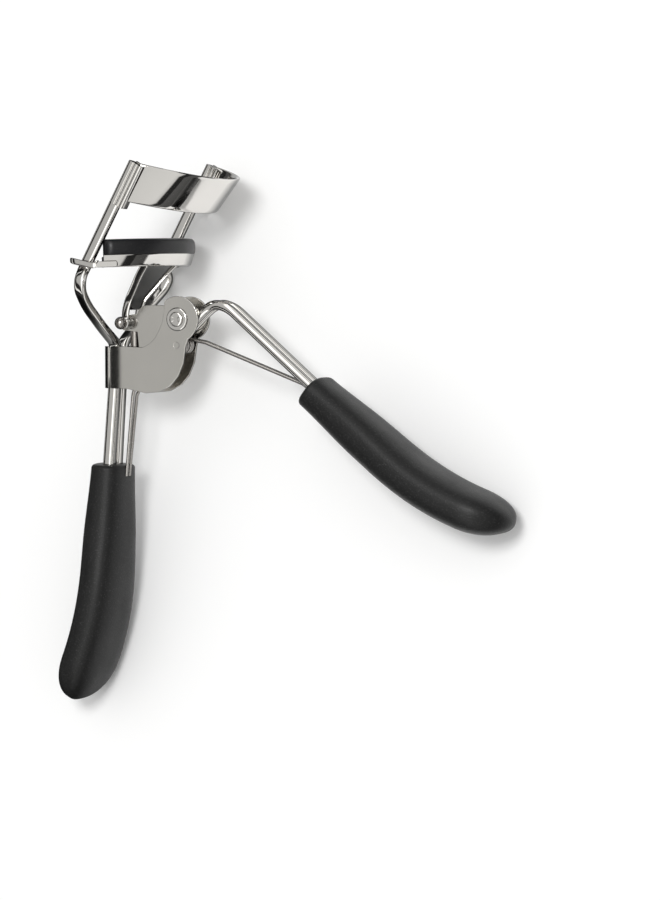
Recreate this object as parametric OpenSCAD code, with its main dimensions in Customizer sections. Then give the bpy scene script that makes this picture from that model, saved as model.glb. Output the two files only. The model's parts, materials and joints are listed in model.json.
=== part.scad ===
// Eyelash curler: two paddle grips squeeze a padded lower jaw up a pair of guide bars against a curved upper jaw.
// Local axes: the pivot pin's middle is the origin, +Y runs up the guide bars and Z is the pin's axis.
// The finished tool is then laid on its side, on three points, by lying().

/* [Jaws] */
// Distance of each guide bar from the middle plane
guide_z = 16; // [15.8:0.1:16.2]
// Radius of the upper jaw's lower edge, which meets the pad
rim_r = 19; // [18.5:0.1:19.5]
// Radius of the upper jaw's top edge
crown_r = 17; // [16.8:0.1:17.4]
// Height of the upper jaw along its own axis
jaw_h = 8; // [7:0.1:9]
// Thickness of the jaw sheet
jaw_t = 0.8; // [0.6:0.05:0.9]
// Tilt of the upper jaw's rim below the horizontal
rim_tilt = 14.5; // [13:0.5:16]
// Width of the silicone pad
pad_w = 4.2; // [4:0.1:4.4]
// Height of the silicone pad, with the part sunk in its channel
pad_h = 4.9; // [4.4:0.1:5]

/* [Handles] */
// Angle that the moving handle closes through
squeeze = 42; // [38:1:44]
// Share of that angle by which the lower jaw tilts
tilt_share = 0.4; // [0.38:0.01:0.42]
// Distance from the pivot to the link pin
arm = 12; // [11.5:0.1:12.5]
// Length of each grip
grip_l = 48.7; // [46:0.1:52]
// Widest part of each grip, across the flat
grip_w = 16; // [14:0.5:17]
// Thickness of each grip
grip_t = 7.6; // [7:0.2:8.4]

/* [Pins and sheet] */
// Radius of the pivot pin
pivot_r = 1.2; // [1:0.05:1.3]
// Radius of the link pin
link_r = 0.75; // [0.6:0.05:0.8]
// Running clearance of a pin in a bore, on the radius
fit = 0.04; // [0.02:0.01:0.08]
// Thickness of the bracket's sheet
bracket_t = 0.5; // [0.4:0.05:0.6]

/* [Hidden] */
$fn = 64;

// The guide bars' slope, and where their centre line crosses the upper jaw's lower edge
guide_lean = 29;
guide_foot = [-12.9, 11.4];
guide_l = 22.4;
guide_up = [sin(guide_lean), cos(guide_lean)];
guide_top = guide_foot + guide_l * guide_up;
rim_at = guide_foot + 14.1 * guide_up;
guide_across = 2.3;
guide_through = 1.6;
sleeve_from = 13.2;
sleeve_t = 0.45;
sleeve_front = 0.8;
sleeve_open = -0.3;
sleeve_play = 0.05;

// The bracket's two walls lie either side of the middle plane, with the lever's cheeks between them
wall_in = 2.35;
wall_out = wall_in + bracket_t;
cheek_out = 2.25;
cheek_t = 0.4;
fold_x = -11.4;
fold_reach = 6.5;
fold_low = -14.1;
fold_high = -5.6;
lobe_r = 4.6;
stem_r = 1.15;
stem_z = 1.17;
rod_r = 0.9;
rod_z = 0.92;
wire_r = 0.35;
spring_at = [-0.2, -5.2];
spring_post_r = 1;
post_neck_r = 0.6;
washer_r = 2.35;
washer_t = 0.4;
stop_r = 1.05;
stop_x = -11.1;
stop_foot = -8.5;

// The link pin at rest, a little below the level of the pivot
link_angle = 184;
link_at = arm * [cos(link_angle), sin(link_angle)];
roller_r = 1.2;
link_closed = arm * [cos(link_angle - squeeze), sin(link_angle - squeeze)];
jaw_tilt = squeeze * tilt_share;

// The jaws' shared arc, in the rim's own plane: its centre lies behind the guide bars
rim_centre = -8;
crown_centre = -4.3 + jaw_h * tan(guide_lean - rim_tilt);
rim_end_z = guide_z + 0.3;
crown_end_z = guide_z;
pad_gap = 0.1;
pad_angle = 47.5;
channel_t = 0.6;
channel_h = 2.4;
channel_floor = -pad_gap - pad_h - channel_t;
channel_out = rim_r + pad_w / 2 - 0.2;
channel_foot = channel_out - 0.8;
channel_in = rim_r - pad_w / 2 + 0.1;
channel_angle = 53;
ear_at = channel_floor + 0.6;
ear_h = 1.2;
ear_t = 0.6;
ear_rise = 1.1;

steel = [0.80, 0.79, 0.77];
shade = [0.45, 0.42, 0.40];
rubber = [0.07, 0.07, 0.07];

// How the tool lies: turned about its length and its width until three points touch the table
roll = 3.2;
pitch = 8.11;
rest_at = [-21.636, 21.887, 16.484];
module lying() {
    translate(rest_at) rotate([pitch, roll, 0]) children();
}

// Curves and sweeps

function xyz(p) = [p[0], p[1], p[2]];
function unit(v) = v / norm(v);
// One corner of a route, rounded by a parabola that leaves and rejoins it at distance d
function corner(a, b, c, d, steps = 6) =
    let (s = b + (a - b) * d / norm(xyz(a) - xyz(b)), e = b + (c - b) * d / norm(xyz(c) - xyz(b)))
    [for (i = [0 : steps]) let (t = i / steps) (1 - t) * (1 - t) * s + 2 * t * (1 - t) * b + t * t * e];
// A route through its points, each as [x, y, z, half across, half through, corner distance]
function route(p) = concat([p[0]],
    [for (i = [1 : len(p) - 2]) each corner(p[i - 1], p[i], p[i + 1], p[i][5])],
    [p[len(p) - 1]]);
function blunt(v, power) = sign(v) * pow(abs(v), power);
function ring(here, along, half_a, half_t, sides, power) =
    let (across = unit(cross(along, [0, 0, 1])), through = cross(across, along))
    [for (k = [0 : sides - 1]) let (a = 360 * (k + 0.5) / sides)
        here + across * half_a * blunt(cos(a), power) + through * half_t * blunt(sin(a), power)];

// A closed skin over a stack of rings with equal numbers of points
module skin(rings) {
    n = len(rings);
    m = len(rings[0]);
    sides = [for (i = [0 : n - 2]) for (k = [0 : m - 1]) let (j = (k + 1) % m)
        each [[i * m + k, i * m + j, (i + 1) * m + j], [i * m + k, (i + 1) * m + j, (i + 1) * m + k]]];
    start = [for (k = [1 : m - 2]) [0, k + 1, k]];
    finish = [for (k = [1 : m - 2]) (n - 1) * m * [1, 1, 1] + [0, k, k + 1]];
    polyhedron(points = [for (r = rings) each r], faces = concat(sides, start, finish), convexity = 8);
}

// A bar along a route, with a rounded section whose two half widths the route's points give
module bar(points, sides = 12, power = 1) {
    p = route(points);
    n = len(p);
    skin([for (i = [0 : n - 1])
        ring(xyz(p[i]), unit(xyz(p[min(i + 1, n - 1)]) - xyz(p[max(i - 1, 0)])), p[i][3], p[i][4], sides, power)]);
}

// Places children in the upper rim's plane: X along the jaw's bulge, Y across and Z up the jaw
module rim_plane() {
    translate([rim_at[0], rim_at[1], 0]) rotate([0, 0, -rim_tilt]) rotate([-90, 0, 0]) children();
}

// Carries the lower jaw's pieces from the closed place, where they are drawn, back to rest
module opened() {
    translate([link_at[0], link_at[1], 0]) rotate([0, 0, jaw_tilt])
        translate([-link_closed[0], -link_closed[1], 0]) children();
}

// Fixed frame

module guide(side) {
    a = guide_across / 2;
    t = guide_through / 2;
    z = side * guide_z;
    color(steel) bar([
        [guide_top[0], guide_top[1], z, a, t],
        [guide_foot[0] - 1.7 * guide_up[0], guide_foot[1] - 1.7 * guide_up[1], z, a, t, 0.7],
        [-13.4, 8.2, side * 18, a, t, 1.3],
        [-14, 5.8, side * 17.1, a, t, 1.4],
        [-14.9, 2.7, side * 13, a, t, 2.4],
        [-15, -1.7, side * 6.7, a, t, 2.2],
        [-14.9, -5, side * 1.6, a, 0.9, 1.2],
        [-14.9, -7.5, side * stem_z, stem_r, stem_r, 1],
        [-15.4, -14.7, side * stem_z, stem_r, stem_r, 3],
        [-16.5, -30, side * 1.45, stem_r, stem_r, 3],
        [-17.9, -50, side * 1.45, stem_r, stem_r]
    ], 16, 0.55);
}
module near_guide() { lying() guide(1); }
module far_guide() { lying() guide(-1); }

// The jaw's ends fold round the front of the guide bars as sleeves, open at the back
module sleeve(side) {
    long = guide_l - sleeve_from;
    across = guide_across + 2 * sleeve_play;
    through = guide_through + 2 * sleeve_play;
    translate([guide_foot[0], guide_foot[1], side * guide_z]) rotate([0, 0, -guide_lean])
        translate([0, sleeve_from, 0]) difference() {
            rotate([-90, 0, 0]) linear_extrude(long) offset(r = sleeve_t)
                translate([-across / 2, -through / 2]) square([across + sleeve_front, through]);
            translate([-across / 2, -1, -through / 2]) cube([across, long + 2, through]);
            translate([sleeve_open - 5, -1, -5]) cube([5, long + 2, 10]);
        }
}
module jaw_sheet() {
    steps = 48;
    low = asin(rim_end_z / rim_r);
    high = asin(crown_end_z / crown_r);
    h = jaw_t / 2;
    skin([for (i = [0 : steps]) let (u = 2 * i / steps - 1, p = low * u, q = high * u,
        foot = [cos(p), sin(p)], head = [cos(q), sin(q)]) [
            [rim_centre + (rim_r - h) * foot[0], (rim_r - h) * foot[1], 0],
            [rim_centre + (rim_r + h) * foot[0], (rim_r + h) * foot[1], 0],
            [crown_centre + (crown_r + h) * head[0], (crown_r + h) * head[1], jaw_h],
            [crown_centre + (crown_r - h) * head[0], (crown_r - h) * head[1], jaw_h]]]);
}
module upper_jaw() {
    color(steel) lying() union() {
        rim_plane() jaw_sheet();
        for (side = [-1, 1]) sleeve(side);
    }
}

// One sheet folded round the stem rods, with a lobe on each wall for the pivot
module wall_outline(trim) {
    polygon([[fold_x, fold_high], [-7.9, -5.7], [-6.4, -5], [-5.1, -3.8], [-4.2, -2.3], [-3.5, -0.7], [-3.05, 1.3],
        [-2.95, 3], [0, 3], [4.1 - trim, -1.2], [3.3 - trim, -2.2], [2.5 - trim, -3.5], [1.8 - trim, -5.5],
        [1.3 - trim, -8.8], [0.1 - trim, -11.4], [-1.6 - trim, -13.3], [-4.2 - trim, -14.6], [-7.2, -14.9],
        [fold_x, fold_low]]);
    intersection() {
        circle(r = lobe_r - trim / 2);
        translate([-2.95, -lobe_r]) square(2 * lobe_r);
    }
}
// Half of a blunt oval, which the sheet follows round the stem
module fold_outline(reach, half) {
    polygon([for (a = [90 : 5 : 270]) [reach * blunt(cos(a), 0.85), half * blunt(sin(a), 0.85)]]);
}
module bracket() {
    color(steel) lying() difference() {
        union() {
            translate([0, 0, wall_in]) linear_extrude(bracket_t) wall_outline(0);
            translate([0, 0, -wall_out]) linear_extrude(bracket_t) wall_outline(0.3);
            translate([fold_x, fold_high, 0]) rotate([90, 0, 0]) linear_extrude(fold_high - fold_low) difference() {
                fold_outline(fold_reach, wall_out);
                fold_outline(fold_reach - bracket_t, wall_in);
            }
        }
        translate([0, 0, -5]) cylinder(r = pivot_r, h = 10);
        translate([spring_at[0], spring_at[1], -5]) cylinder(r = post_neck_r, h = 10);
    }
}
module pivot_rivet() {
    color(steel) lying() union() {
        translate([0, 0, -wall_out - 0.5]) cylinder(r = pivot_r, h = 2 * wall_out + 1);
        for (side = [-1, 1]) translate([0, 0, side * (wall_out + washer_t)]) scale([1, 1, side]) rotate_extrude()
            polygon([[0, 0], [1.45, 0], [1.5, 0.15], [1.4, 0.32], [1.1, 0.42], [0.5, 0.3], [0, 0.3]]);
    }
}
module washer(turn) {
    color(steel) lying() rotate([turn, 0, 0]) translate([0, 0, wall_out]) rotate_extrude()
        polygon([[pivot_r, 0], [washer_r, 0], [washer_r, washer_t / 2], [washer_r - 0.2, washer_t],
            [pivot_r, washer_t]]);
}
module near_washer() { washer(0); }
module far_washer() { washer(180); }
// The peg that the link pin's roller comes down on when the tool is open
module stop_post() {
    top = link_at[1] - roller_r - 0.05;
    color(shade) lying() translate([stop_x, top, 0]) rotate([90, 0, 0]) cylinder(r = stop_r, h = top - stop_foot);
}
module spring_post() {
    color(steel) lying() translate([spring_at[0], spring_at[1], 0]) union() {
        translate([0, 0, -wall_in]) cylinder(r = spring_post_r, h = 2 * wall_in);
        translate([0, 0, -wall_out]) cylinder(r = post_neck_r, h = 2 * wall_out);
    }
}

// The two wires of the return spring: each is wound on its post, with a leg down the stem and a leg to the handle
coil_r = spring_post_r + wire_r + 0.12;
stem_leg = [[-10.4, -13.4, 1.4], [-11.3, -15.5, 0.8], [-12.7, -29, 0.6], [-13, -32, 0.6]];
grip_leg = [[31, -16.1, 0.4], [28, -13.4, 0.4], [26.8, -12.5, 0.4], [13, -7.5, 0.45], [5, -4.6, 0.45]];
function coil(turns = 1.9, steps = 40) =
    [for (i = [0 : steps]) let (a = 66 - 360 * turns * i / steps)
        [spring_at[0] + coil_r * cos(a), spring_at[1] + coil_r * sin(a), 0.45 + 0.74 * turns * i / steps]];
module spring(side) {
    p = [for (q = concat(grip_leg, coil(), stem_leg)) [q[0], q[1], side * q[2]]];
    last = len(p) - 1;
    color(steel) lying() skin([for (i = [0 : last])
        ring(p[i], unit(p[min(i + 1, last)] - p[max(i - 1, 0)]), wire_r, wire_r, 8, 1)]);
}
module near_spring() { spring(1); }
module far_spring() { spring(-1); }

// Grips: a paddle whose centre line curls outwards at the tip
grip_stations = [0, 0.25, 0.8, 2, 5, 10, 16, 22, 28, 33, 37, 40.5, 43.5, 46, 47.8, 49, 49.5];
function curl(s) = s < 20 ? 0 : 6.8 * pow((s - 20) / 29.5, 2.2);
function half_flat(s) = 5.3 + (grip_w / 2 - 5.3) * pow(sin(90 * min(1, s / 40)), 1.2);
function half_thick(s) = grip_t / 2 - 0.3 * cos(180 * min(1, s / 16)) ;
function mouth_end(s) = s < 0.8 ? 0.82 + 0.18 * sqrt(1 - pow(1 - s / 0.8, 2)) : 1;
function tip_end(s) = s > 40 ? sqrt(max(0.006, 1 - pow((s - 40) / (grip_l - 39.98), 2.2))) : 1;
module grip_body(out) {
    stations = [for (s = grip_stations) s * grip_l / 49.5];
    centre = [for (s = stations) [out * curl(s), -s, 0]];
    n = len(stations);
    skin([for (i = [0 : n - 1]) let (s = stations[i],
        along = unit(centre[min(i + 1, n - 1)] - centre[max(i - 1, 0)]))
        ring(centre[i], along, half_thick(s) * mouth_end(s) * tip_end(s), half_flat(s) * mouth_end(s) * tip_end(s),
            32, 0.72)]);
}
module fixed_grip() {
    color(rubber) lying() translate([-16.35, -29.5, 0]) rotate([0, 0, -3.7]) grip_body(-1);
}

// Lower jaw: a channel for the pad, ears round the guide bars, and a yoke down to the link pin

module arc_wall(half_angle, section) {
    translate([rim_centre, 0, 0]) rotate([0, 0, -half_angle]) rotate_extrude(angle = 2 * half_angle)
        polygon(section);
}
module ear(side) {
    r = channel_out - channel_t / 2;
    z = guide_z + guide_through / 2 + 0.25 + ear_t / 2;
    turn = asin(z / r);
    bar(concat(
        [for (a = [turn - 12 : 3 : turn]) [rim_centre + r * cos(a), side * r * sin(a), ear_at, ear_t / 2, ear_h / 2, 0.01]],
        [[3, side * (z + 0.1), ear_at - 0.2, ear_t / 2, ear_h / 2, 0.8],
         [1.5, side * (z + 0.1), ear_at, ear_t / 2, ear_h / 2, 0.7],
         [-2.3, side * z, ear_at + ear_rise * 0.85, ear_t / 2, ear_h / 2, 0.8],
         [-3.1, side * (z - 1), ear_at + ear_rise, ear_t / 2, ear_h / 2 - 0.1, 0.5],
         [-3.3, side * (z - 2.2), ear_at + ear_rise, ear_t / 2, ear_h / 2 - 0.2]]), 12, 0.6);
}
module lower_jaw() {
    floor_top = channel_floor + channel_t;
    color(steel) lying() opened() rim_plane() union() {
        arc_wall(channel_angle, [[channel_foot - channel_t, channel_floor], [channel_foot, channel_floor],
            [channel_out, channel_floor + channel_h], [channel_out - channel_t, channel_floor + channel_h]]);
        arc_wall(channel_angle - 1, [[channel_in, channel_floor], [channel_foot - 0.2, channel_floor],
            [channel_foot - 0.2, floor_top], [channel_in, floor_top]]);
        arc_wall(channel_angle - 1, [[channel_in, channel_floor], [channel_in + channel_t, channel_floor],
            [channel_in + channel_t, channel_floor + channel_h - 0.3], [channel_in, channel_floor + channel_h - 0.3]]);
        for (side = [-1, 1]) ear(side);
    }
}
module pad() {
    steps = 40;
    cap = 5.2;
    color(rubber) lying() opened() rim_plane() skin([for (i = [0 : steps])
        let (a = (pad_angle + cap) * (2 * i / steps - 1),
            over = max(0, abs(a) - pad_angle) / cap,
            shrink = sqrt(max(0.02, 1 - over * over)),
            half = pad_w / 2 * shrink,
            dir = [cos(a), sin(a)])
        [for (q = [[-0.28, 0], [0.28, 0], [0.6, 0.38], [0.98, 0.4], [1, 0.68], [0.88, 0.86], [0.6, 0.96],
                [0.2, 1], [-0.2, 1], [-0.6, 0.96], [-0.88, 0.86], [-1, 0.68], [-0.98, 0.4], [-0.6, 0.38]])
            [rim_centre + (rim_r + q[0] * half) * dir[0], (rim_r + q[0] * half) * dir[1],
                -pad_gap - pad_h * (1 - q[1])]]]);
}
boss_r = 1.15;
boss_h = 1.25;
yoke_line = [[-5.3, 11.1, 6.1], [-6.6, 9.7, 5.5], [-7.8, 8.2, 4.9], [-9.4, 6, 3.9], [-11, 3.9, 2.95], [-11.8, 1.7, 2.75]];
module yoke_arm(side) {
    color(steel) lying() difference() {
        union() {
            bar(concat([for (p = yoke_line) [p[0], p[1], side * p[2], 0.8, 0.3, 0.8]],
                [[link_at[0], link_at[1] + 0.6, side * 2.65, 0.8, 0.3]]), 12, 0.6);
            translate([link_at[0], link_at[1], side > 0 ? wall_in : -wall_in - boss_h]) cylinder(r = boss_r, h = boss_h);
        }
        translate([link_at[0], link_at[1], side > 0 ? 0 : -6]) cylinder(r = link_r, h = 6);
    }
}
module near_yoke_arm() { yoke_arm(1); }
module far_yoke_arm() { yoke_arm(-1); }
module yoke_web() {
    t = 0.5;
    color(steel) lying() skin([for (p = yoke_line) let (z = p[2] - 0.35)
        [[p[0], p[1], -z], [p[0] + t, p[1] + 0.1, -z], [p[0] + t, p[1] + 0.1, z], [p[0], p[1], z]]]);
}
module link_pin() {
    color(steel) lying() translate([link_at[0], link_at[1], 0]) union() {
        translate([0, 0, -4.5]) cylinder(r = link_r, h = 9);
        translate([0, 0, 3.62]) cylinder(r = 0.95, h = 0.6);
        translate([0, 0, 4.4]) sphere(r = 1.3);
        translate([0, 0, -4.6]) cylinder(r = 1, h = 0.98);
        translate([0, 0, -5.1]) cylinder(r = 1.4, h = 0.5);
    }
}
module link_roller() {
    color(steel) lying() translate([link_at[0], link_at[1], -1.8]) difference() {
        cylinder(r = roller_r, h = 3.6);
        translate([0, 0, -1]) cylinder(r = link_r + fit, h = 6);
    }
}

// Moving handle: a folded lever on the pivot, two rods and a grip

module cheek_outline() {
    union() {
        circle(r = 3);
        translate(link_at) circle(r = 1.6);
        polygon([[link_at[0] - 0.8, link_at[1] + 1.38], [-9.4, 1], [-9, 1.9], [-8.2, 2.5], [-7.2, 2.7], [3.2, 2.7],
            [4.4, 2], [4.6, 0.4], [3.6, -1.5], [1.4, -2.65], [-2.4, -3], [-4.2, -6.4], [-9, -6.4], [-9.4, -2.6],
            [link_at[0] + 0.2, link_at[1] - 1.55]]);
    }
}
module lever() {
    color(steel) lying() difference() {
        union() {
            for (z = [cheek_out - cheek_t, -cheek_out]) translate([0, 0, z]) linear_extrude(cheek_t) cheek_outline();
            translate([-8.2, 2.2, -cheek_out]) cube([5, 0.45, 2 * cheek_out]);
        }
        translate([0, 0, -5]) cylinder(r = pivot_r + fit, h = 10);
        translate([link_at[0], link_at[1], -5]) cylinder(r = link_r + fit, h = 10);
    }
}
module handle_rod(side) {
    z = side * rod_z;
    wide = side * 1.35;
    r = rod_r;
    color(steel) lying() bar([[-7.4, -1.6, z, r, r], [-3, -2.3, z, r, r, 1.5], [0.8, -2.6, z, r, r, 1.2],
        [4, 0.5, z, r, r, 1.5], [7, 3.2, side * 1.2, 1, 1, 2], [10.6, 2.5, wide, 1, 1, 2],
        [28, -12, wide, 1, 1, 4], [47, -28, wide, 1, 1]]);
}
module near_handle_rod() { handle_rod(1); }
module far_handle_rod() { handle_rod(-1); }
module moving_grip() {
    color(rubber) lying() difference() {
        translate([29, -13.6, 0]) rotate([0, 0, 52.2]) grip_body(1);
        translate([28, -13.4, 0]) rotate([0, 0, -41]) translate([-3, -0.7, -1]) cube([8, 1.4, 2]);
    }
}

upper_jaw();
near_guide();
far_guide();
bracket();
pivot_rivet();
near_washer();
far_washer();
stop_post();
spring_post();
fixed_grip();
near_spring();
far_spring();
lower_jaw();
pad();
near_yoke_arm();
far_yoke_arm();
yoke_web();
link_pin();
link_roller();
lever();
near_handle_rod();
far_handle_rod();
moving_grip();
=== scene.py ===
import json

import bmesh
import bpy
import numpy as np
from mathutils import Matrix, Vector


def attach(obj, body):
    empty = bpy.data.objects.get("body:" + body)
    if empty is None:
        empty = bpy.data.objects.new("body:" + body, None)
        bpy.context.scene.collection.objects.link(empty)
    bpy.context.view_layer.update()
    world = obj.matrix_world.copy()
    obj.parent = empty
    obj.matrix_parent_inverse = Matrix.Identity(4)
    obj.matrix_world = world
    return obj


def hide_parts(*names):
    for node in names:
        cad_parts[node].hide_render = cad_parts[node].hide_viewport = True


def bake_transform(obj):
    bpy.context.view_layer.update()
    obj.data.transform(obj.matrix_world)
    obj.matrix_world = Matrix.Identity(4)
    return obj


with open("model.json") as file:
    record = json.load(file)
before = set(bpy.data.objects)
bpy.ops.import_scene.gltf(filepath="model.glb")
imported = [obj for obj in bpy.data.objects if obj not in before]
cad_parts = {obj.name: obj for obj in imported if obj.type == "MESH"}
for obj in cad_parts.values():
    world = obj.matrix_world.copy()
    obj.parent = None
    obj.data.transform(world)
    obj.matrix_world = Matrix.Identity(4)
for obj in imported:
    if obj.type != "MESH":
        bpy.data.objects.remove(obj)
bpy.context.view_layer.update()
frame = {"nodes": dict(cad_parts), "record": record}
scene = bpy.context.scene
print("frame loaded")

# The tool's own axes, from its two hinges: the pivot is the origin, Y runs up the stem and Z is along the
# pivot. Lengths along them are millimetres.
linkage = {"linkAngle": 184.0, "arm": 12.0, "squeeze": 42.0, "jawTilt": 16.8}
hinges = {j["name"]: j for j in frame["record"]["behaviour"]["joints"]}
pivotPoint = np.array(hinges["handle_pivot"]["pos_m"])
zAxis = np.array(hinges["handle_pivot"]["axis"])
zAxis = zAxis / np.linalg.norm(zAxis)
linkWay = np.array(hinges["jaw_link"]["pos_m"]) - pivotPoint
linkWay = linkWay / np.linalg.norm(linkWay)
linkTurn = np.radians(linkage["linkAngle"])
sideWay = np.cross(zAxis, linkWay)
xAxis = np.cos(linkTurn) * linkWay - np.sin(linkTurn) * sideWay
yAxis = np.sin(linkTurn) * linkWay + np.cos(linkTurn) * sideWay
toolAxes = np.array([xAxis, yAxis, zAxis])


def inFrame(points):  # pivot + (x X + y Y + z Z) / 1000
    return pivotPoint + np.asarray(points, float) @ toolAxes / 1000


def turned(points, degrees):  # about Z, by the usual rotation
    c, s = np.cos(np.radians(degrees)), np.sin(np.radians(degrees))
    x, y = points[..., 0], points[..., 1]
    return np.stack([c * x - s * y, s * x + c * y, points[..., 2]], axis=-1)


# Mesh from a grid: rings[i, k] is point k of ring i, and both ends are closed by a flat face
def makeMesh(name, rings, sharp=35.0):
    n, m = rings.shape[:2]
    points = rings.reshape(-1, 3)
    i, k = np.meshgrid(np.arange(n - 1), np.arange(m), indexing="ij")
    j = (k + 1) % m
    quads = np.stack([i * m + k, i * m + j, (i + 1) * m + j, (i + 1) * m + k], axis=-1).reshape(-1, 4)
    a, b, c, d = (points[quads[:, q]] for q in range(4))
    volume = np.sum(np.cross(a, b) * c) + np.sum(np.cross(a, c) * d)  # its sign: which way the faces point
    ends = [list(range(m - 1, -1, -1)), list(range((n - 1) * m, n * m))]
    faces = quads.tolist() + ends
    if volume < 0:
        faces = [face[::-1] for face in faces]
    mesh = bpy.data.meshes.new(name)
    mesh.from_pydata(inFrame(points).tolist(), [], faces)
    mesh.polygons.foreach_set("use_smooth", [True] * len(faces))
    mesh.set_sharp_from_angle(angle=np.radians(sharp))
    mesh.validate()
    piece = bpy.data.objects.new(name, mesh)
    scene.collection.objects.link(piece)
    return piece


def place(piece, body, slotName, material, *nodes):
    piece.data.materials.append(material)
    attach(piece, body)
    if nodes:
        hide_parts(*nodes)
    return piece


def blurred(line, width):  # running mean with a bell-shaped weight; the ends stay where they are
    if width < 2:
        return line
    weight = np.hanning(2 * width + 1)
    weight = weight / weight.sum()
    before = 2 * line[0] - line[width:0:-1]
    after = 2 * line[-1] - line[-2:-width - 2:-1]
    longer = np.vstack([before, line, after])
    return np.stack([np.convolve(column, weight, "valid") for column in longer.T], axis=1)


# A route through points [x, y, z, half across, half through, corner]: each corner is the parabola
# (1-t)^2 s + 2t(1-t) b + t^2 e, and the whole is spaced evenly and eased.
def smoothRoute(points, step=0.2, ease=3):
    p = np.array([list(q) + [0] * (6 - len(q)) for q in points], float)
    t = np.linspace(0, 1, 16)[:, None]
    runs = [p[:1, :5]]
    for a, b, c, reach in zip(p[:-2, :5], p[1:-1, :5], p[2:, :5], p[1:-1, 5]):
        s = b + (a - b) * reach / np.linalg.norm((a - b)[:3])
        e = b + (c - b) * reach / np.linalg.norm((c - b)[:3])
        runs.append((1 - t) ** 2 * s + 2 * t * (1 - t) * b + t ** 2 * e)
    line = np.vstack(runs + [p[-1:, :5]])
    run = np.r_[0, np.cumsum(np.linalg.norm(np.diff(line[:, :3], axis=0), axis=1))]
    keep = np.r_[True, np.diff(run) > 1e-6]
    even = np.linspace(0, run[-1], int(run[-1] / step) + 3)
    line = np.stack([np.interp(even, run[keep], column[keep]) for column in line.T], axis=1)
    return blurred(line, ease)


# Rings along a route: centre + across * a * sgn(cos)|cos|^power + through * t * sgn(sin)|sin|^power
def barRings(line, sides=24, power=1.0, roundEnd=0.0):
    along = np.gradient(line[:, :3], axis=0)
    along = along / np.linalg.norm(along, axis=1, keepdims=True)
    across = np.cross(along, [0, 0, 1])
    across = across / np.linalg.norm(across, axis=1, keepdims=True)
    through = np.cross(across, along)
    angle = 2 * np.pi * (np.arange(sides) + 0.5) / sides
    c = np.sign(np.cos(angle)) * np.abs(np.cos(angle)) ** power
    s = np.sign(np.sin(angle)) * np.abs(np.sin(angle)) ** power
    run = np.r_[0, np.cumsum(np.linalg.norm(np.diff(line[:, :3], axis=0), axis=1))]
    shrink = np.ones(len(line))
    if roundEnd > 0:  # the two ends close in like a quarter circle
        near = np.minimum(run, run[-1] - run)
        shrink = np.sqrt(np.clip(1 - (1 - np.clip(near / roundEnd, 0, 1)) ** 2, 0.05, 1))
    half = line[:, 3:5] * shrink[:, None]
    return (line[:, None, :3] + across[:, None] * (half[:, 0, None] * c)[..., None]
            + through[:, None] * (half[:, 1, None] * s)[..., None])


def roundedProfile(points, reach, steps=5):  # a closed outline with each corner cut by a parabola
    p = np.array(points, float)
    before, after = np.roll(p, 1, axis=0), np.roll(p, -1, axis=0)
    lengthBefore = np.linalg.norm(before - p, axis=1, keepdims=True)
    lengthAfter = np.linalg.norm(after - p, axis=1, keepdims=True)
    s = p + (before - p) * np.minimum(reach / lengthBefore, 0.45)
    e = p + (after - p) * np.minimum(reach / lengthAfter, 0.45)
    t = np.linspace(0, 1, steps)[:, None, None]
    return ((1 - t) ** 2 * s + 2 * t * (1 - t) * p + t ** 2 * e).transpose(1, 0, 2).reshape(-1, 2)


def turnedRings(profile, centre, sides=48):  # rings of radius r at height z about the centre
    profile = np.array(profile, float)
    angle = 2 * np.pi * np.arange(sides) / sides
    r, z = profile[:, 0, None], profile[:, 1, None]
    return np.stack([centre[0] + r * np.cos(angle), centre[1] + r * np.sin(angle), z + 0 * angle], axis=-1)


def newGroup(name, inputs, outputs):
    group = bpy.data.node_groups.new(name, "ShaderNodeTree")
    for label, kind, value in inputs:
        socket = group.interface.new_socket(label, in_out="INPUT", socket_type=kind)
        socket.default_value = value
    for label, kind in outputs:
        group.interface.new_socket(label, in_out="OUTPUT", socket_type=kind)
    return group, group.nodes.new("NodeGroupInput"), group.nodes.new("NodeGroupOutput")


def noise(tree, vector, scale, detail=3.0, roughness=0.5):
    node = tree.nodes.new("ShaderNodeTexNoise")
    node.inputs["Detail"].default_value = detail
    node.inputs["Roughness"].default_value = roughness
    if isinstance(scale, (int, float)):
        node.inputs["Scale"].default_value = scale
    else:
        tree.links.new(scale, node.inputs["Scale"])
    tree.links.new(vector, node.inputs["Vector"])
    return node.outputs["Fac"]


def spread(tree, value, low, high, fromLow=0.3, fromHigh=0.7):
    node = tree.nodes.new("ShaderNodeMapRange")
    for label, number in (("From Min", fromLow), ("From Max", fromHigh)):
        node.inputs[label].default_value = number
    for label, number in (("To Min", low), ("To Max", high)):
        if isinstance(number, (int, float)):
            node.inputs[label].default_value = number
        else:
            tree.links.new(number, node.inputs[label])
    tree.links.new(value, node.inputs["Value"])
    return node.outputs["Result"]


# the dark edge colour below is painted shade, a painted reflection mixed into the metal's colour where it
# turns away from the view
metalScales = {"wave": 90.0, "tint": 140.0, "darkestTint": 0.96, "waveDepth": 0.0002,
               "paintedEdgeShade": (0.03, 0.03, 0.028)}
rubberScales = {"patch": 120.0, "grainDepth": 0.0001, "dustFrom": 0.56, "dustTo": 0.74}


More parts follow.
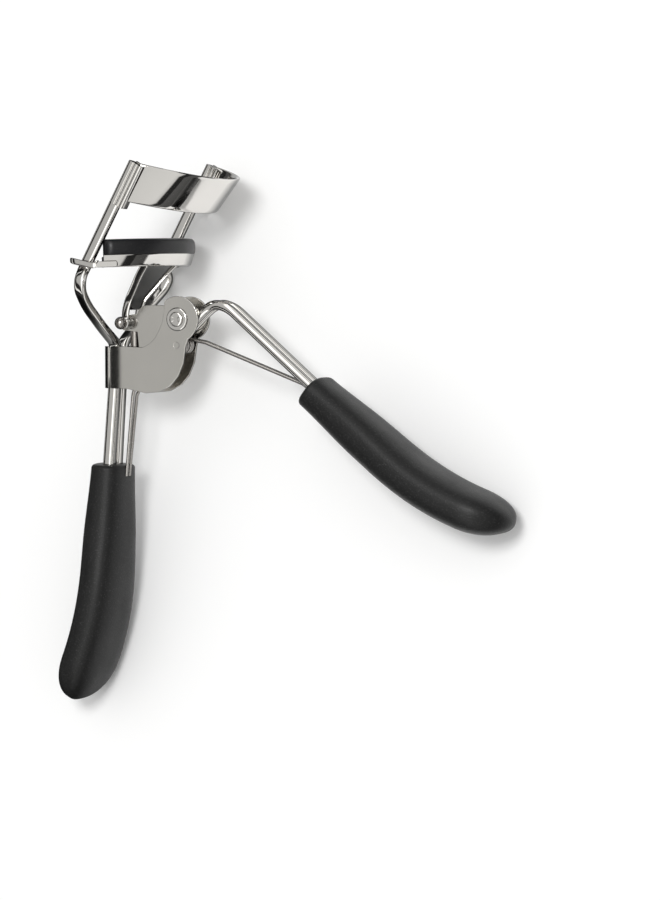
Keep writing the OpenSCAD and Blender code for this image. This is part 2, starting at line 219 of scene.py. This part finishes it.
# Plated metal: faint wiping marks change the roughness, and a shallow waviness bends the reflections
def buildPlating():
    group, given, out = newGroup("plating", [
        ("Low Roughness", "NodeSocketFloat", 0.06), ("High Roughness", "NodeSocketFloat", 0.14),
        ("Scale", "NodeSocketFloat", 220.0), ("Stretch", "NodeSocketVector", (1, 1, 1))],
        [("Roughness", "NodeSocketFloat"), ("Wave", "NodeSocketFloat"), ("Tint", "NodeSocketFloat")])
    place3d = group.nodes.new("ShaderNodeTexCoord")
    stretch = group.nodes.new("ShaderNodeVectorMath")
    stretch.operation = "MULTIPLY"
    group.links.new(place3d.outputs["Object"], stretch.inputs[0])
    group.links.new(given.outputs["Stretch"], stretch.inputs[1])
    marks = noise(group, stretch.outputs["Vector"], given.outputs["Scale"], 5.0, 0.6)
    rough = spread(group, marks, given.outputs["Low Roughness"], given.outputs["High Roughness"])
    group.links.new(rough, out.inputs["Roughness"])
    wave = noise(group, place3d.outputs["Object"], metalScales["wave"], 1.0)
    tint = noise(group, place3d.outputs["Object"], metalScales["tint"], 2.0)
    group.links.new(wave, out.inputs["Wave"])
    group.links.new(spread(group, tint, metalScales["darkestTint"], 1.0), out.inputs["Tint"])
    return group


# Moulded rubber: fine grain for the bump, with pale dust caught in its pits
def buildGrain():
    group, given, out = newGroup("mouldGrain", [
        ("Scale", "NodeSocketFloat", 3000.0), ("Dust", "NodeSocketFloat", 0.5)],
        [("Height", "NodeSocketFloat"), ("Dust", "NodeSocketFloat"), ("Patch", "NodeSocketFloat")])
    place3d = group.nodes.new("ShaderNodeTexCoord")
    fine = noise(group, place3d.outputs["Object"], given.outputs["Scale"], 3.0, 0.65)
    group.links.new(fine, out.inputs["Height"])
    dust = spread(group, fine, 0.0, given.outputs["Dust"], rubberScales["dustFrom"], rubberScales["dustTo"])
    group.links.new(dust, out.inputs["Dust"])
    group.links.new(noise(group, place3d.outputs["Object"], rubberScales["patch"], 3.0), out.inputs["Patch"])
    return group


platingGroup, grainGroup = buildPlating(), buildGrain()


def startMaterial(name, groupTree):
    material = bpy.data.materials.new(name)
    material.use_nodes = True
    tree = material.node_tree
    shader = tree.nodes["Principled BSDF"]
    group = tree.nodes.new("ShaderNodeGroup")
    group.node_tree = groupTree
    return material, tree, shader, group


def shade(tree, colour, amount):  # colour times a value that changes over the surface
    node = tree.nodes.new("ShaderNodeMix")
    node.data_type = "RGBA"
    node.blend_type = "MULTIPLY"
    node.inputs["Factor"].default_value = 1.0
    node.inputs["A"].default_value = (*colour, 1)
    tree.links.new(amount, node.inputs["B"])
    return node.outputs["Result"]


def platedMetal(name, look):
    material, tree, shader, group = startMaterial(name, platingGroup)
    group.inputs["Low Roughness"].default_value = look["rough"][0]
    group.inputs["High Roughness"].default_value = look["rough"][1]
    group.inputs["Scale"].default_value = look["marks"]
    group.inputs["Stretch"].default_value = look["stretch"]
    shader.inputs["Metallic"].default_value = 1.0
    # painted dark edges: the base colour is darkened where the surface turns away from the view, a painted
    # reflection of the dark room
    turnedAway = tree.nodes.new("ShaderNodeLayerWeight")
    paintedEdge = spread(tree, turnedAway.outputs["Facing"], 0.0, 1.0, *look["paintedEdge"])
    edged = tree.nodes.new("ShaderNodeMix")
    edged.data_type = "RGBA"
    edged.inputs["B"].default_value = (*metalScales["paintedEdgeShade"], 1)
    tree.links.new(paintedEdge, edged.inputs["Factor"])
    tree.links.new(shade(tree, look["colour"], group.outputs["Tint"]), edged.inputs["A"])
    tree.links.new(edged.outputs["Result"], shader.inputs["Base Color"])
    tree.links.new(group.outputs["Roughness"], shader.inputs["Roughness"])
    bump = tree.nodes.new("ShaderNodeBump")
    bump.inputs["Strength"].default_value = look["wave"]
    bump.inputs["Distance"].default_value = metalScales["waveDepth"]
    tree.links.new(group.outputs["Wave"], bump.inputs["Height"])
    tree.links.new(bump.outputs["Normal"], shader.inputs["Normal"])
    return material


def mouldedRubber(name, look):
    material, tree, shader, group = startMaterial(name, grainGroup)
    group.inputs["Scale"].default_value = look["grain"]
    group.inputs["Dust"].default_value = look["dust"]
    mix = tree.nodes.new("ShaderNodeMix")
    mix.data_type = "RGBA"
    mix.inputs["A"].default_value = (*look["colour"], 1)
    mix.inputs["B"].default_value = (*look["dustColour"], 1)
    tree.links.new(group.outputs["Dust"], mix.inputs["Factor"])
    tree.links.new(mix.outputs["Result"], shader.inputs["Base Color"])
    tree.links.new(spread(tree, group.outputs["Patch"], *look["rough"]), shader.inputs["Roughness"])
    shader.inputs["Specular IOR Level"].default_value = look["shine"]
    bump = tree.nodes.new("ShaderNodeBump")
    bump.inputs["Strength"].default_value = look["bump"]
    bump.inputs["Distance"].default_value = rubberScales["grainDepth"]
    tree.links.new(group.outputs["Height"], bump.inputs["Height"])
    tree.links.new(bump.outputs["Normal"], shader.inputs["Normal"])
    return material


# painted dark edge: how far a surface turns away, from 0 to 1, before its colour is painted dark, a painted
# reflection of the dark room behind the lights
finishes = {
    "polished_steel": platedMetal("polishedPlate", {
        "colour": (0.79, 0.77, 0.74), "rough": (0.04, 0.09), "marks": 260.0, "stretch": (1, 1, 1),
        "wave": 0.05, "paintedEdge": (0.62, 0.8)}),
    "satin_steel": platedMetal("satinPlate", {
        "colour": (0.72, 0.70, 0.66), "rough": (0.13, 0.17), "marks": 900.0, "stretch": (1, 1, 1),
        "wave": 0.01, "paintedEdge": (0.3, 0.55)}),
    "dark_steel": platedMetal("darkSteel", {
        "colour": (0.34, 0.32, 0.30), "rough": (0.14, 0.26), "marks": 800.0, "stretch": (1, 1, 1),
        "wave": 0.1, "paintedEdge": (0.4, 0.6)}),
    "spring_wire": platedMetal("springWire", {
        "colour": (0.46, 0.44, 0.42), "rough": (0.18, 0.3), "marks": 1500.0, "stretch": (0.2, 1, 1),
        "wave": 0.05, "paintedEdge": (0.25, 0.5)}),
    "soft_rubber": mouldedRubber("softRubber", {
        "colour": (0.006, 0.006, 0.006), "dustColour": (0.05, 0.05, 0.05), "dust": 0.7, "grain": 3400.0,
        "rough": (0.4, 0.5), "bump": 0.5, "shine": 0.3}),
    "silicone": mouldedRubber("silicone", {
        "colour": (0.007, 0.007, 0.008), "dustColour": (0.04, 0.04, 0.04), "dust": 0.35, "grain": 2600.0,
        "rough": (0.34, 0.44), "bump": 0.25, "shine": 0.35}),
}
# bars and turned parts are narrow, so their painted dark edges start sooner
barMetal = platedMetal("polishedBar", {
    "colour": (0.79, 0.77, 0.74), "rough": (0.05, 0.11), "marks": 260.0, "stretch": (1, 1, 1),
    "wave": 0.05, "paintedEdge": (0.33, 0.55)})
print("finishes made")

# Guide bars, each one length of flattened bar that turns into half of the stem

guide = {"z": 16.0, "lean": 29.0, "foot": (-12.9, 11.4), "length": 22.4, "across": 1.15, "through": 0.8,
         "stem": 1.15, "stemZ": 1.17, "gripZ": 1.45}
guideUp = np.array([np.sin(np.radians(guide["lean"])), np.cos(np.radians(guide["lean"]))])


def guideRoute(side):
    a, t, r, z = guide["across"], guide["through"], guide["stem"], side * guide["z"]
    top = np.array(guide["foot"]) + guide["length"] * guideUp
    low = np.array(guide["foot"]) - 1.7 * guideUp
    return [[top[0], top[1], z, a, t], [low[0], low[1], z, a, t, 0.9],
            [-13.4, 8.2, side * 18, a, t, 1.3], [-14, 5.8, side * 17.1, a, t, 1.4],
            [-14.9, 2.7, side * 13, a, t, 2.4], [-15, -1.7, side * 6.7, a, t, 2.2],
            [-14.9, -5, side * 1.6, a, 0.9, 1.2], [-14.9, -7.5, side * guide["stemZ"], r, r, 1],
            [-15.4, -14.7, side * guide["stemZ"], r, r, 3], [-16.5, -30, side * guide["gripZ"], r, r, 3],
            [-17.9, -50, side * guide["gripZ"], r, r]]


for side, nodeName in ((1, "near_guide"), (-1, "far_guide")):
    rings = barRings(smoothRoute(guideRoute(side), 0.25, 3), 32, 0.55, 0.25)
    place(makeMesh(nodeName + "_bar", rings), "frame", "polished_steel", barMetal, nodeName)
print("guide bars made")

# Upper jaw: a curved sheet whose two ends fold round the guide bars
jaw = {"rimRadius": 19.0, "crownRadius": 17.0, "height": 8.0, "thick": 0.8, "tilt": 14.5, "rimCentre": -8.0,
       "crownBack": -4.3, "rimEnd": 16.3, "crownEnd": 16.0, "alongGuide": 14.1}
rimAt = np.array([*(np.array(guide["foot"]) + jaw["alongGuide"] * guideUp), 0.0])


def inRim(points):  # [bulge, across, up] in the rim's plane to the tool's axes
    b, w, s = points[..., 0], points[..., 1], points[..., 2]
    return turned(np.stack([b, s, -w], axis=-1), -jaw["tilt"]) + rimAt


# Each ring is the sheet's section at one place round the jaw: foot + (head - foot) v + outwards * h
def jawSheet():
    h = jaw["thick"] / 2
    low = np.arcsin(jaw["rimEnd"] / jaw["rimRadius"])
    high = np.arcsin(jaw["crownEnd"] / jaw["crownRadius"])
    crownCentre = jaw["crownBack"] + jaw["height"] * np.tan(np.radians(guide["lean"] - jaw["tilt"]))
    bend = np.radians(np.linspace(90, -90, 7))
    up = np.linspace(h, jaw["height"] - h, 14)
    outline = np.vstack([
        np.stack([up, 0 * up + h], axis=1),
        np.stack([jaw["height"] - h + h * np.cos(bend), h * np.sin(bend)], axis=1)[1:-1],
        np.stack([up[::-1], 0 * up - h], axis=1),
        np.stack([h - h * np.cos(bend), -h * np.sin(bend)], axis=1)[1:-1]])
    v, out = outline[:, 0] / jaw["height"], outline[:, 1]
    u = np.linspace(-1, 1, 120)[:, None]
    p, q = low * u, high * u
    foot = [jaw["rimCentre"] + (jaw["rimRadius"] + out) * np.cos(p), (jaw["rimRadius"] + out) * np.sin(p)]
    head = [crownCentre + (jaw["crownRadius"] + out) * np.cos(q), (jaw["crownRadius"] + out) * np.sin(q)]
    b, w = (f + (g - f) * v for f, g in zip(foot, head))
    return inRim(np.stack([b, w, outline[:, 0] + 0 * u], axis=-1))


sleeve = {"start": 13.2, "thick": 0.45, "front": 0.8, "open": -0.3, "play": 0.05,
          "nose": 0.45, "grooves": (0.55, 1.5), "grooveWide": 0.14, "grooveDeep": 0.25}


# A U-shaped section pulled straight along the guide bar. Its two faces lie at
# through + thick - deep * sum of exp(-((s - groove) / wide)^2).
def sleeveRings(side):
    a, t, wall = guide["across"] + sleeve["play"], guide["through"] + sleeve["play"], sleeve["thick"]
    tip = a + sleeve["front"] + wall
    s = np.linspace(sleeve["open"], tip - sleeve["nose"], 60)
    dips = sum(np.exp(-((s - groove) / sleeve["grooveWide"]) ** 2) for groove in sleeve["grooves"])
    face = t + wall - sleeve["grooveDeep"] * dips
    arc = np.radians(np.linspace(80, -80, 15))
    nose = np.stack([tip - sleeve["nose"] + sleeve["nose"] * np.cos(arc),
                     np.sign(arc) * face[-1] * np.abs(np.sin(arc)) ** 0.5], axis=1)
    outline = np.vstack([np.stack([s, face], axis=1), nose, np.stack([s[::-1], -face[::-1]], axis=1),
                         [[sleeve["open"], -t], [a, -t], [a, t], [sleeve["open"], t]]])
    along = np.linspace(sleeve["start"], guide["length"], 6)[:, None]
    x, z = outline.T
    flat = np.stack([x + 0 * along, along + 0 * x, z + 0 * along], axis=-1)
    return turned(flat, -guide["lean"]) + np.array([*guide["foot"], side * guide["z"]])


place(makeMesh("upper_jaw_sheet", jawSheet()), "frame", "polished_steel", finishes["polished_steel"],
      "upper_jaw")
for side, label in ((1, "near"), (-1, "far")):
    place(makeMesh(label + "_sleeve", sleeveRings(side)), "frame", "polished_steel", barMetal)
print("upper jaw made")

# Lower jaw: channel, ears and pad, drawn in the closed place and let down to rest
arm, down = linkage["arm"], linkage["linkAngle"] - linkage["squeeze"]
linkRest = arm * np.array([np.cos(linkTurn), np.sin(linkTurn), 0])
linkClosed = arm * np.array([np.cos(np.radians(down)), np.sin(np.radians(down)), 0])


def opened(points):
    return turned(points - linkClosed, linkage["jawTilt"]) + linkRest


def carried(profile, angles, scale=None):  # a section [radius, height] swept round the jaw's centre
    r, s = profile[:, 0], profile[:, 1]
    a = np.radians(angles)[:, None]
    if scale is not None:
        middle = np.array([jaw["rimRadius"], channel["top"]])
        r = middle[0] + (r - middle[0]) * scale[:, None]
        s = s + 0 * a
    return opened(inRim(np.stack([jaw["rimCentre"] + r * np.cos(a), r * np.sin(a), s + 0 * a], axis=-1)))


pad = {"width": 4.2, "height": 4.9, "gap": 0.1, "angle": 47.5, "cap": 5.2}
channel = {"thick": 0.6, "height": 2.4, "angle": 53.0, "top": -0.1, "innerDrop": 0.3, "rounding": 0.22}
channel["floor"] = -pad["gap"] - pad["height"] - channel["thick"]
channel["out"] = jaw["rimRadius"] + pad["width"] / 2 - 0.2
channel["foot"] = channel["out"] - 0.8
channel["in"] = jaw["rimRadius"] - pad["width"] / 2 + 0.1


def channelProfile():
    t, floor, high = channel["thick"], channel["floor"], channel["floor"] + channel["height"]
    return roundedProfile([
        [channel["in"], floor], [channel["foot"], floor], [channel["out"], high], [channel["out"] - t, high],
        [channel["foot"] - t + 0.2, floor + t], [channel["in"] + t, floor + t],
        [channel["in"] + t, high - channel["innerDrop"]], [channel["in"], high - channel["innerDrop"]]],
        channel["rounding"])


ear = {"high": 1.2, "thick": 0.6, "rise": 1.1, "lift": 0.6, "clear": 0.25}


def earRoute(side):
    r = channel["out"] - channel["thick"] / 2
    z = guide["z"] + guide["through"] + ear["clear"] + ear["thick"] / 2
    level, t, h = channel["floor"] + ear["lift"], ear["thick"] / 2, ear["high"] / 2
    turn = np.degrees(np.arcsin(z / r))
    start = [[jaw["rimCentre"] + r * np.cos(a), side * r * np.sin(a), level, t, h, 0.01]
             for a in np.radians(np.arange(turn - 12, turn + 0.1, 3))]
    return start + [
        [3, side * (z + 0.1), level - 0.2, t, h, 0.8], [1.5, side * (z + 0.1), level, t, h, 0.7],
        [-2.3, side * z, level + ear["rise"] * 0.85, t, h, 0.8],
        [-3.1, side * (z - 1), level + ear["rise"], t, h - 0.1, 0.5],
        [-3.3, side * (z - 2.2), level + ear["rise"], t, h - 0.2]]


def padRings():
    half, high = pad["width"] / 2, pad["height"]
    # half of the section, in half widths and heights: foot in the channel, shoulder on its rim, domed top
    right = [[0.28, 0], [0.6, 0.36], [1.0, 0.37], [1.03, 0.8], [0.8, 0.98]]
    left = [[-x, y] for x, y in right[::-1]]
    shape = roundedProfile([left[-1], *right, [0, 1.01], *left[:-1]], 0.24, 7)
    ends = pad["angle"] + pad["cap"]
    a = ends * np.sin(np.radians(np.linspace(-90, 90, 150)))
    over = np.clip((np.abs(a) - pad["angle"]) / pad["cap"], 0, 1)
    shrink = np.sqrt(np.clip(1 - over ** 2, 0.012, 1))
    x, y = shape.T
    profile = np.stack([jaw["rimRadius"] + x * half, -pad["gap"] - high * (1 - y)], axis=1)
    return carried(profile, a, shrink)


channelAngles = np.linspace(-channel["angle"], channel["angle"], 90)
place(makeMesh("lower_jaw_channel", carried(channelProfile(), channelAngles)), "lower_jaw", "polished_steel",
      finishes["polished_steel"], "lower_jaw")
for side, label in ((1, "near"), (-1, "far")):
    rings = opened(inRim(barRings(smoothRoute(earRoute(side), 0.15, 4), 24, 0.6, 0.3)))
    place(makeMesh(label + "_ear", rings), "lower_jaw", "polished_steel", barMetal)
place(makeMesh("lash_pad", padRings(), 60), "lower_jaw", "silicone", finishes["silicone"], "pad")
print("lower jaw made")

# Yoke: two flat arms with bosses on the link pin, and a web between them
yoke = {"line": [[-5.3, 11.1, 6.1], [-6.6, 9.7, 5.5], [-7.8, 8.2, 4.9], [-9.4, 6, 3.9], [-11, 3.9, 2.95],
                 [-11.8, 1.7, 2.75]], "wide": 0.8, "thin": 0.3, "bossBore": 0.76, "bossRadius": 1.15,
        "bossIn": 2.35, "bossHigh": 1.25, "webInset": 0.35}


def yokeArm(side):
    w, t = yoke["wide"], yoke["thin"]
    route = [[x, y, side * z, w, t, 0.8] for x, y, z in yoke["line"]]
    route.append([linkRest[0], linkRest[1] + 0.6, side * 2.65, w, t])
    return barRings(smoothRoute(route, 0.12, 4), 24, 0.6, 0.2)


def boss(side):
    r, low, high = yoke["bossRadius"], yoke["bossIn"], yoke["bossIn"] + yoke["bossHigh"]
    bore = yoke["bossBore"]
    outline = [[bore, low], [r - 0.1, low], [r, low + 0.1], [r, high - 0.15], [r - 0.15, high], [bore, high]]
    return turnedRings([[p, side * q] for p, q in outline], linkRest)


def yokeWeb():
    line = np.array(yoke["line"])
    t = np.linspace(0, len(line) - 1, 40)
    x, y, z = (blurred(np.interp(t, np.arange(len(line)), c)[:, None], 4)[:, 0] for c in line.T)
    u = np.array([[0, -1], [0.5, -1], [0.5, -0.5], [0.5, 0.5], [0.5, 1], [0, 1], [0, 0.5], [0, -0.5]])
    x, y, z = x[:, None], y[:, None], z[:, None] - yoke["webInset"]
    return np.stack([x + u[:, 0], y + 0.2 * u[:, 0], z * u[:, 1]], axis=-1)


for side, nodeName in ((1, "near_yoke_arm"), (-1, "far_yoke_arm")):
    place(makeMesh(nodeName + "_blade", yokeArm(side)), "lower_jaw", "polished_steel", barMetal, nodeName)
    place(makeMesh(nodeName + "_boss", boss(side)), "lower_jaw", "polished_steel", barMetal)
place(makeMesh("yoke_web_sheet", yokeWeb(), 50), "lower_jaw", "satin_steel", finishes["satin_steel"],
      "yoke_web")
print("yoke made")

# Handle rods
rod = {"z": 0.92, "radius": 0.9, "outZ": 1.35, "outRadius": 1.0}


def rodRoute(side):
    z, r, w, q = side * rod["z"], rod["radius"], side * rod["outZ"], rod["outRadius"]
    return [[-7.4, -1.6, z, r, r], [-3, -2.3, z, r, r, 1.5], [0.8, -2.6, z, r, r, 1.2],
            [4, 0.5, z, r, r, 1.5], [7, 3.2, side * 1.2, q, q, 2], [10.6, 2.5, w, q, q, 2],
            [28, -12, w, q, q, 4], [47, -28, w, q, q]]


for side, nodeName in ((1, "near_handle_rod"), (-1, "far_handle_rod")):
    rings = barRings(smoothRoute(rodRoute(side), 0.25, 4), 32, 1.0, 0.3)
    place(makeMesh(nodeName + "_bar", rings), "moving_handle", "polished_steel", barMetal, nodeName)
print("handle rods made")

# Return spring: a coil on its post, a leg down the stem and a leg that bends to the moving grip
spring = {"wire": 0.35, "centre": (-0.2, -5.2), "coil": 1.47, "turns": 1.9, "firstAngle": 66.0, "low": 0.45,
          "climb": 0.74, "bendFrom": (1.6, -3.6, 0), "bendTo": (26.0, -11.8, 0),
          "gripLeg": [[31, -16.1, 0.4], [28, -13.4, 0.4], [26.8, -12.5, 0.4], [13, -7.5, 0.45],
                      [5, -4.6, 0.45]],
          "stemLeg": [[-10.4, -13.4, 1.4], [-11.3, -15.5, 0.8], [-12.7, -29, 0.6], [-13, -32, 0.6]]}


def springRings(side):
    part = np.linspace(0, spring["turns"], 90)
    a = np.radians(spring["firstAngle"] - 360 * part)
    x, y = spring["centre"]
    coil = np.stack([x + spring["coil"] * np.cos(a), y + spring["coil"] * np.sin(a),
                     spring["low"] + spring["climb"] * part], axis=1)
    line = np.vstack([spring["gripLeg"], coil, spring["stemLeg"]])
    run = np.r_[0, np.cumsum(np.linalg.norm(np.diff(line, axis=0), axis=1))]
    even = np.linspace(0, run[-1], 500)
    line = blurred(np.stack([np.interp(even, run, c) for c in line.T], axis=1), 4)
    line[:, 2] *= side
    r = spring["wire"]
    return barRings(np.hstack([line, np.full((len(line), 2), r)]), 14, 1.0, 0.2)


for side, nodeName in ((1, "near_spring"), (-1, "far_spring")):
    wire = makeMesh(nodeName + "_wire", springRings(side))
    wire.data.materials.append(finishes["spring_wire"])
    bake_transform(wire)
    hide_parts(nodeName)
print("springs made")

# Grips: a paddle whose centre line curls outwards at the tip
grip = {"long": 48.7, "wide": 16.0, "thick": 7.6, "neck": 5.3, "curl": 6.8, "nominal": 49.5}


# half width = neck + (wide/2 - neck) sin(90 s/40)^1.2, half depth = thick/2 - 0.3 cos(180 s/16),
# both times a rounded mouth and an elliptical tip; the centre line is out * curl * ((s-20)/29.5)^2.2
def gripRings(out, corner, degrees, sides=64):
    k = grip["long"] / grip["nominal"]
    s = np.unique(np.r_[0.8 * np.sin(np.linspace(0, np.pi / 2, 8)), np.linspace(0.8, 40, 90),
                        40 + 9.5 * np.sin(np.linspace(0, np.pi / 2, 30))]) * k
    bow = out * grip["curl"] * np.clip((s - 20) / 29.5, 0, None) ** 2.2
    wide = grip["neck"] + (grip["wide"] / 2 - grip["neck"]) * np.sin(np.pi / 2 * np.clip(s / 40, 0, 1)) ** 1.2
    deep = grip["thick"] / 2 - 0.3 * np.cos(np.pi * np.clip(s / 16, 0, 1))
    mouth = np.where(s < 0.8, 0.82 + 0.18 * np.sqrt(np.clip(1 - (1 - s / 0.8) ** 2, 0, 1)), 1)
    tip = np.clip((s - 40) / (grip["long"] - 39.98), 0, None) ** 2.2
    end = mouth * np.sqrt(np.clip(1 - tip, 0.002, 1))
    line = np.stack([bow, -s, 0 * s, deep * end, wide * end], axis=1)
    return turned(barRings(line, sides, 0.72), degrees) + np.array([corner[0], corner[1], 0])


place(makeMesh("fixed_grip_rubber", gripRings(-1, (-16.35, -29.5), -3.7), 60), "frame", "soft_rubber",
      finishes["soft_rubber"], "fixed_grip")
place(makeMesh("moving_grip_rubber", gripRings(1, (29, -13.6), 52.2), 60), "moving_handle", "soft_rubber",
      finishes["soft_rubber"], "moving_grip")
print("grips made")

# Pressed and turned parts keep their CAD shape, with their edges broken by these widths
slotOf = {part["node"]: part["material_slot"] for part in frame["record"]["subparts"]}
bodyOf = {node: body for body, nodes in frame["record"]["behaviour"]["bodies"].items() for node in nodes}
edgeBreak = {"bracket": 0.2, "lever": 0.17, "near_washer": 0.13, "far_washer": 0.13, "pivot_rivet": 0.09,
             "stop_post": 0.15, "link_pin": 0.1, "link_roller": 0.15}
edgedLook = {**finishes, "polished_steel": barMetal}


def brokenEdges(nodeName, width):
    mesh = frame["nodes"][nodeName].data.copy()
    shape = bmesh.new()
    shape.from_mesh(mesh)
    bmesh.ops.remove_doubles(shape, verts=shape.verts, dist=2e-6)
    bmesh.ops.dissolve_limit(shape, angle_limit=np.radians(1.5), verts=shape.verts, edges=shape.edges)
    shape.to_mesh(mesh)
    shape.free()
    mesh.materials.clear()
    mesh.polygons.foreach_set("use_smooth", [True] * len(mesh.polygons))
    piece = bpy.data.objects.new(nodeName + "_edged", mesh)
    scene.collection.objects.link(piece)
    bevel = piece.modifiers.new("edge", "BEVEL")
    bevel.width = width / 1000
    bevel.segments = 2
    bevel.limit_method = "ANGLE"
    bevel.angle_limit = np.radians(40)
    piece.modifiers.new("flat", "WEIGHTED_NORMAL").weight = 90
    return piece


for nodeName, width in edgeBreak.items():
    slotName = slotOf[nodeName]
    place(brokenEdges(nodeName, width), bodyOf[nodeName], slotName, edgedLook[slotName], nodeName)
print("edges broken")

# The CAD nodes get their finishes too
for nodeName, item in frame["nodes"].items():
    item.data.materials.clear()
    item.data.materials.append(finishes[slotOf[nodeName]])

studio = {"floorSize": 4.0, "floor": (0.93, 0.93, 0.925), "ambient": 0.73,
          "key": {"at": (150, 190, 700), "size": 0.2, "power": 2.6},
          # beyond this distance, in metres, the floor is painted dark where it is seen in the metal, a
          # painted dark reflection as past a table's edge
          "edge": (0.065, 0.08), "paintedDarkReflection": (0.02, 0.02, 0.02),
          # how bright the room looks in the metal, by degrees from overhead: -90 is left, 90 is right
          "room": [(-180, 0.5), (-98, 0.5), (-96, 0.02), (-78, 0.02), (-76, 1.1), (-66, 1.1), (-64, 0.02),
                   (-38, 0.02), (-34, 0.52), (-15, 0.51), (-8, 1.9), (10, 1.9), (16, 0.7), (31, 0.74),
                   (70, 0.78), (78, 0.66), (80, 0.02), (94, 0.02), (96, 0.5), (180, 0.5)],
          "roomBlue": 0.985, "aim": (10, -20, 0)}


def plainMaterial(name, colour, rough):
    material = bpy.data.materials.new(name)
    material.use_nodes = True
    shader = material.node_tree.nodes["Principled BSDF"]
    shader.inputs["Base Color"].default_value = (*colour, 1)
    shader.inputs["Roughness"].default_value = rough
    shader.inputs["Specular IOR Level"].default_value = 0.2
    return material


def sheetObject(name, centre, right, up, material):
    c, r, u = (np.asarray(v, float) for v in (centre, right, up))
    mesh = bpy.data.meshes.new(name)
    mesh.from_pydata([list(c - r - u), list(c + r - u), list(c + r + u), list(c - r + u)], [], [[0, 1, 2, 3]])
    mesh.materials.append(material)
    item = bpy.data.objects.new(name, mesh)
    scene.collection.objects.link(item)
    return item


# pale to the camera and the lamps; past the edge the metal sees a painted dark reflection in the floor
def floorMaterial():  # pale, and dark beyond the edge when it is seen in the metal
    material = plainMaterial("paleFloor", studio["floor"], 0.6)
    tree = material.node_tree
    where = tree.nodes.new("ShaderNodeTexCoord")
    away = tree.nodes.new("ShaderNodeVectorMath")
    away.operation = "LENGTH"
    tree.links.new(where.outputs["Object"], away.inputs[0])
    past = spread(tree, away.outputs["Value"], 0.0, 1.0, *studio["edge"])
    seenBy = tree.nodes.new("ShaderNodeLightPath")
    both = tree.nodes.new("ShaderNodeMath")
    both.operation = "MULTIPLY"
    tree.links.new(past, both.inputs[0])
    tree.links.new(seenBy.outputs["Is Glossy Ray"], both.inputs[1])
    tone = tree.nodes.new("ShaderNodeMix")
    tone.data_type = "RGBA"
    tone.inputs["A"].default_value = (*studio["floor"], 1)
    tone.inputs["B"].default_value = (*studio["paintedDarkReflection"], 1)
    tree.links.new(both.outputs["Value"], tone.inputs["Factor"])
    tree.links.new(tone.outputs["Result"], tree.nodes["Principled BSDF"].inputs["Base Color"])
    return material


half = studio["floorSize"] / 2
sheetObject("floor", (0, 0, 0), (half, 0, 0), (0, half, 0), floorMaterial())


def softLight(name, look):
    data = bpy.data.lights.new(name, "AREA")
    data.shape = "SQUARE"
    data.size = look["size"]
    data.energy = look["power"]
    lamp = bpy.data.objects.new(name, data)
    scene.collection.objects.link(lamp)
    at = Vector(inFrame(look["at"]))
    aim = Vector(inFrame(studio["aim"])) - at
    lamp.matrix_world = Matrix.Translation(at) @ aim.to_track_quat("-Z", "Y").to_matrix().to_4x4()


softLight("keyLight", studio["key"])

# The world lights everything evenly, and the metal sees the room's strips in it instead
world = bpy.data.worlds.new("studioWorld")
scene.world = world
world.use_nodes = True
tree = world.node_tree
direction = tree.nodes.new("ShaderNodeTexCoord")
apart = tree.nodes.new("ShaderNodeSeparateXYZ")
tree.links.new(direction.outputs["Generated"], apart.inputs["Vector"])
ramp = tree.nodes.new("ShaderNodeValToRGB")
while len(ramp.color_ramp.elements) < len(studio["room"]):
    ramp.color_ramp.elements.new(0.5)
for stop, (at, value) in zip(ramp.color_ramp.elements, studio["room"]):
    stop.position = at / 360 + 0.5
    stop.color = (value, value, studio["roomBlue"] * value, 1)
tilt = tree.nodes.new("ShaderNodeMath")
tilt.operation = "ARCTAN2"
tree.links.new(apart.outputs["X"], tilt.inputs[0])
tree.links.new(apart.outputs["Z"], tilt.inputs[1])
tiltShare = tree.nodes.new("ShaderNodeMath")
tiltShare.operation = "MULTIPLY_ADD"
tiltShare.inputs[1].default_value = 0.5 / np.pi
tiltShare.inputs[2].default_value = 0.5
tree.links.new(tilt.outputs["Value"], tiltShare.inputs[0])
tree.links.new(tiltShare.outputs["Value"], ramp.inputs["Fac"])
rays = tree.nodes.new("ShaderNodeLightPath")
choose = tree.nodes.new("ShaderNodeMix")
choose.data_type = "RGBA"
choose.inputs["A"].default_value = (*[studio["ambient"]] * 3, 1)
tree.links.new(rays.outputs["Is Glossy Ray"], choose.inputs["Factor"])
tree.links.new(ramp.outputs["Color"], choose.inputs["B"])
tree.links.new(choose.outputs["Result"], tree.nodes["Background"].inputs["Color"])

# Camera, in the tool's axes
view = {"turn": 26.0, "rise": 3.5, "away": 650.0, "aside": 29.2, "below": 26.2, "lens": 130.0}
a, b = np.radians(view["turn"]), np.radians(view["rise"])
right = np.array([np.cos(a), 0, -np.sin(a)])
up = np.array([-np.sin(b) * np.sin(a), np.cos(b), -np.sin(b) * np.cos(a)])
back = np.array([np.cos(b) * np.sin(a), np.sin(b), np.cos(b) * np.cos(a)])
cameraData = bpy.data.cameras.new("camera")
cameraData.lens = view["lens"]
cameraData.sensor_width = 36.0
cameraData.clip_end = 20.0
camera = bpy.data.objects.new("camera", cameraData)
scene.collection.objects.link(camera)
turns = Matrix([list(axis @ toolAxes) for axis in (right, up, back)]).transposed().to_4x4()
camera.matrix_world = Matrix.Translation(
    Vector(inFrame(view["aside"] * right - view["below"] * up + view["away"] * back))) @ turns
scene.camera = camera
scene.view_settings.view_transform = "Standard"
print("studio made")
